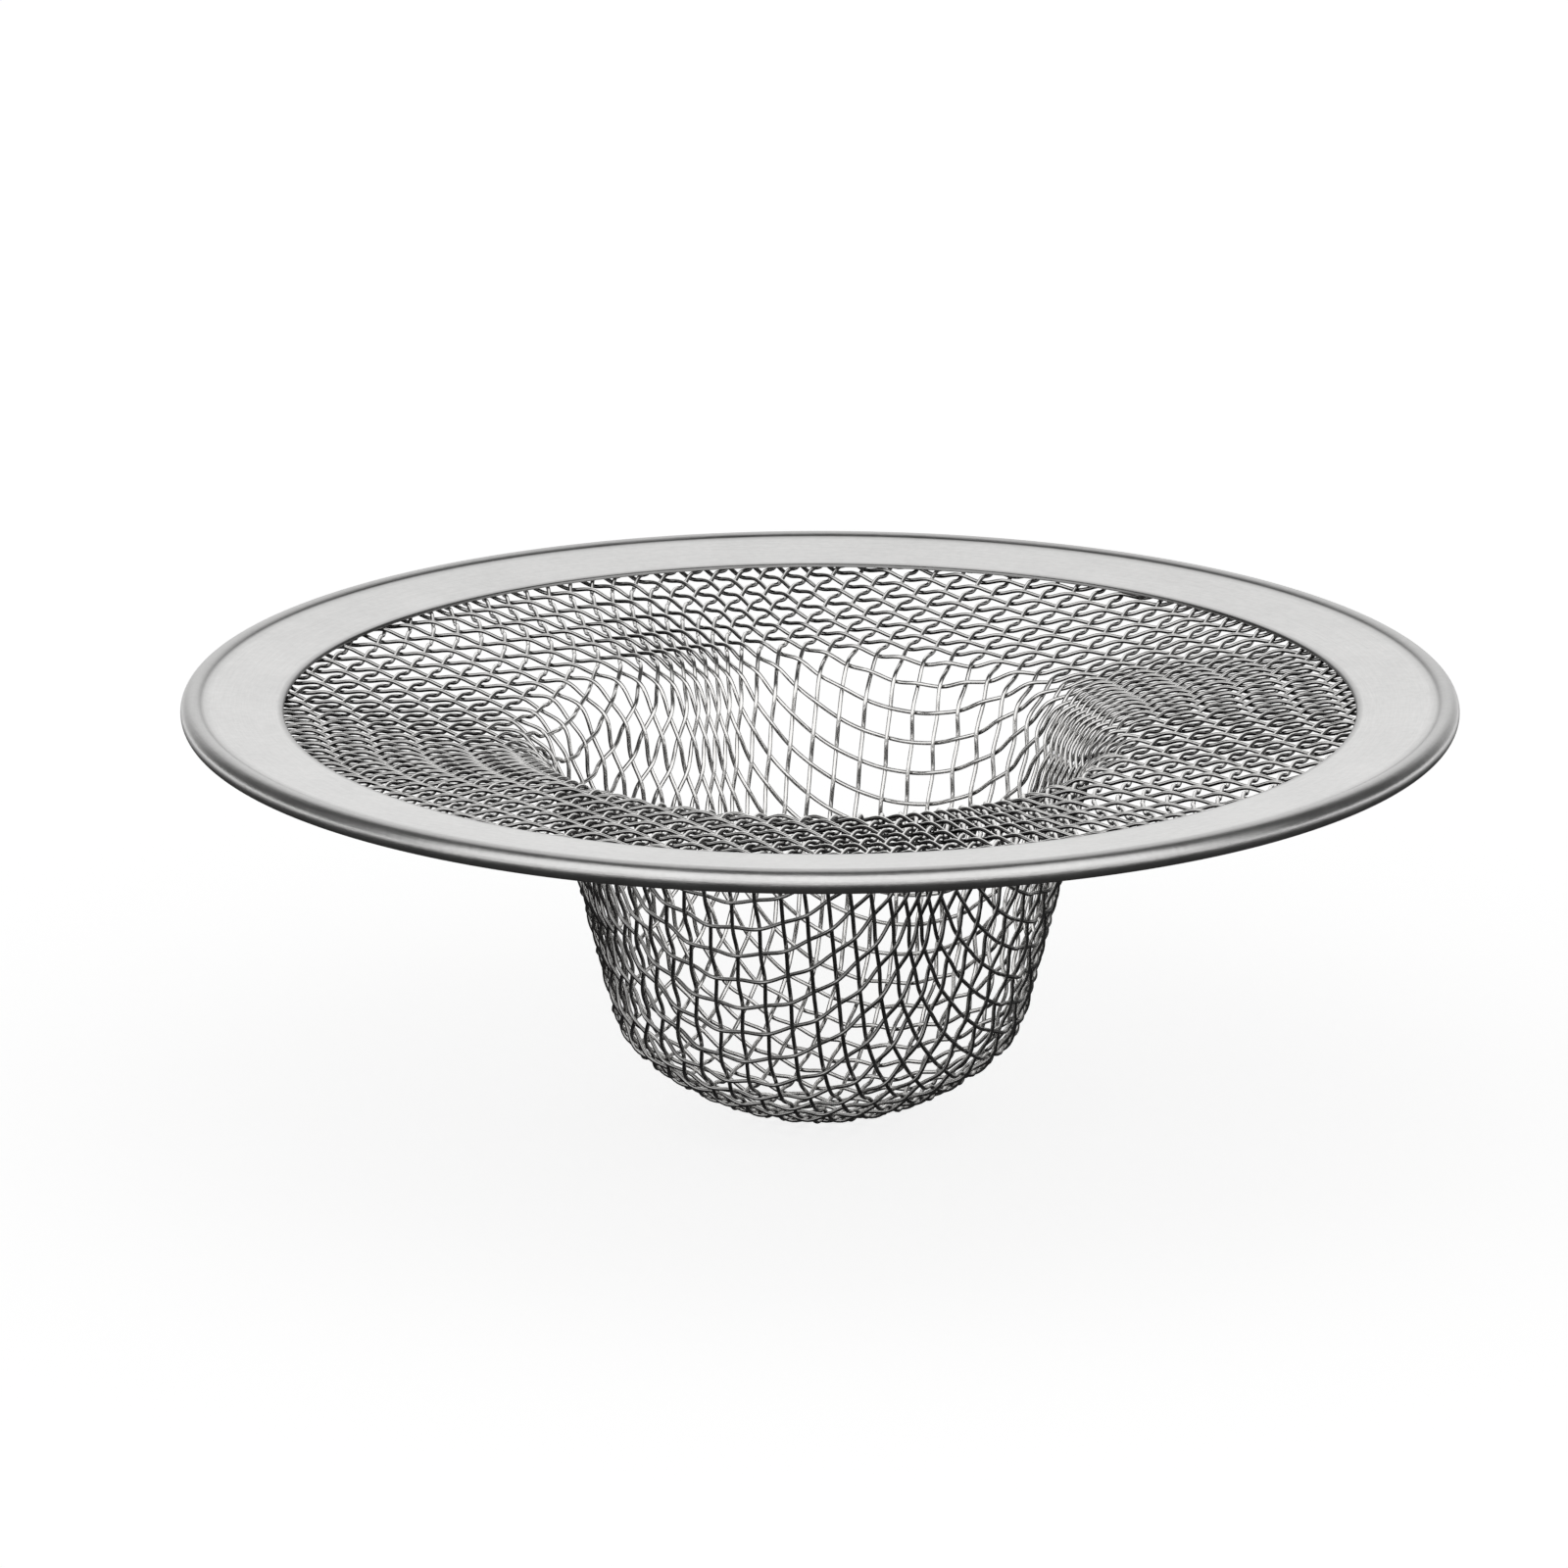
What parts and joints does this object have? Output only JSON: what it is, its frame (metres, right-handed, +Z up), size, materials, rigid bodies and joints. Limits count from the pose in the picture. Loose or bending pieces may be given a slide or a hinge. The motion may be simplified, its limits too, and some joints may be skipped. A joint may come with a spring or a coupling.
{
  "type": "sink strainer",
  "caption": "Round mesh sink strainer: woven wire cloth pressed into a flange and a tapered basket with a domed floor, its edge hemmed in a beaded sheet ring that rests on the drain.",
  "frame": {"origin": "on the axis of the rim and the basket, level with the lowest wire of the basket's floor", "axes": "+Z up along the axis, out of the basket's mouth; warp wires run along Y and weft wires along X"},
  "size_m": [0.07, 0.07, 0.0238],
  "materials": {
    "rim_steel": "satin",
    "wire_steel": "satin"
  },
  "bodies": {
    "root": {"rim_ring": "rim_steel", "warp_wire_middle": "wire_steel", "warp_wires_band_01": "wire_steel", "warp_wires_band_02": "wire_steel", "warp_wires_band_03": "wire_steel", "warp_wires_band_04": "wire_steel", "warp_wires_band_05": "wire_steel", "warp_wires_band_06": "wire_steel", "warp_wires_band_07": "wire_steel", "warp_wires_band_08": "wire_steel", "warp_wires_band_09": "wire_steel", "warp_wires_band_10": "wire_steel", "warp_wires_band_11": "wire_steel", "warp_wires_band_12": "wire_steel", "warp_wires_band_13": "wire_steel", "warp_wires_band_14": "wire_steel", "warp_wires_band_15": "wire_steel", "weft_wire_middle": "wire_steel", "weft_wires_band_01": "wire_steel", "weft_wires_band_02": "wire_steel", "weft_wires_band_03": "wire_steel", "weft_wires_band_04": "wire_steel", "weft_wires_band_05": "wire_steel", "weft_wires_band_06": "wire_steel", "weft_wires_band_07": "wire_steel", "weft_wires_band_08": "wire_steel", "weft_wires_band_09": "wire_steel", "weft_wires_band_10": "wire_steel", "weft_wires_band_11": "wire_steel", "weft_wires_band_12": "wire_steel", "weft_wires_band_13": "wire_steel", "weft_wires_band_14": "wire_steel", "weft_wires_band_15": "wire_steel"}
  },
  "joints": []
}
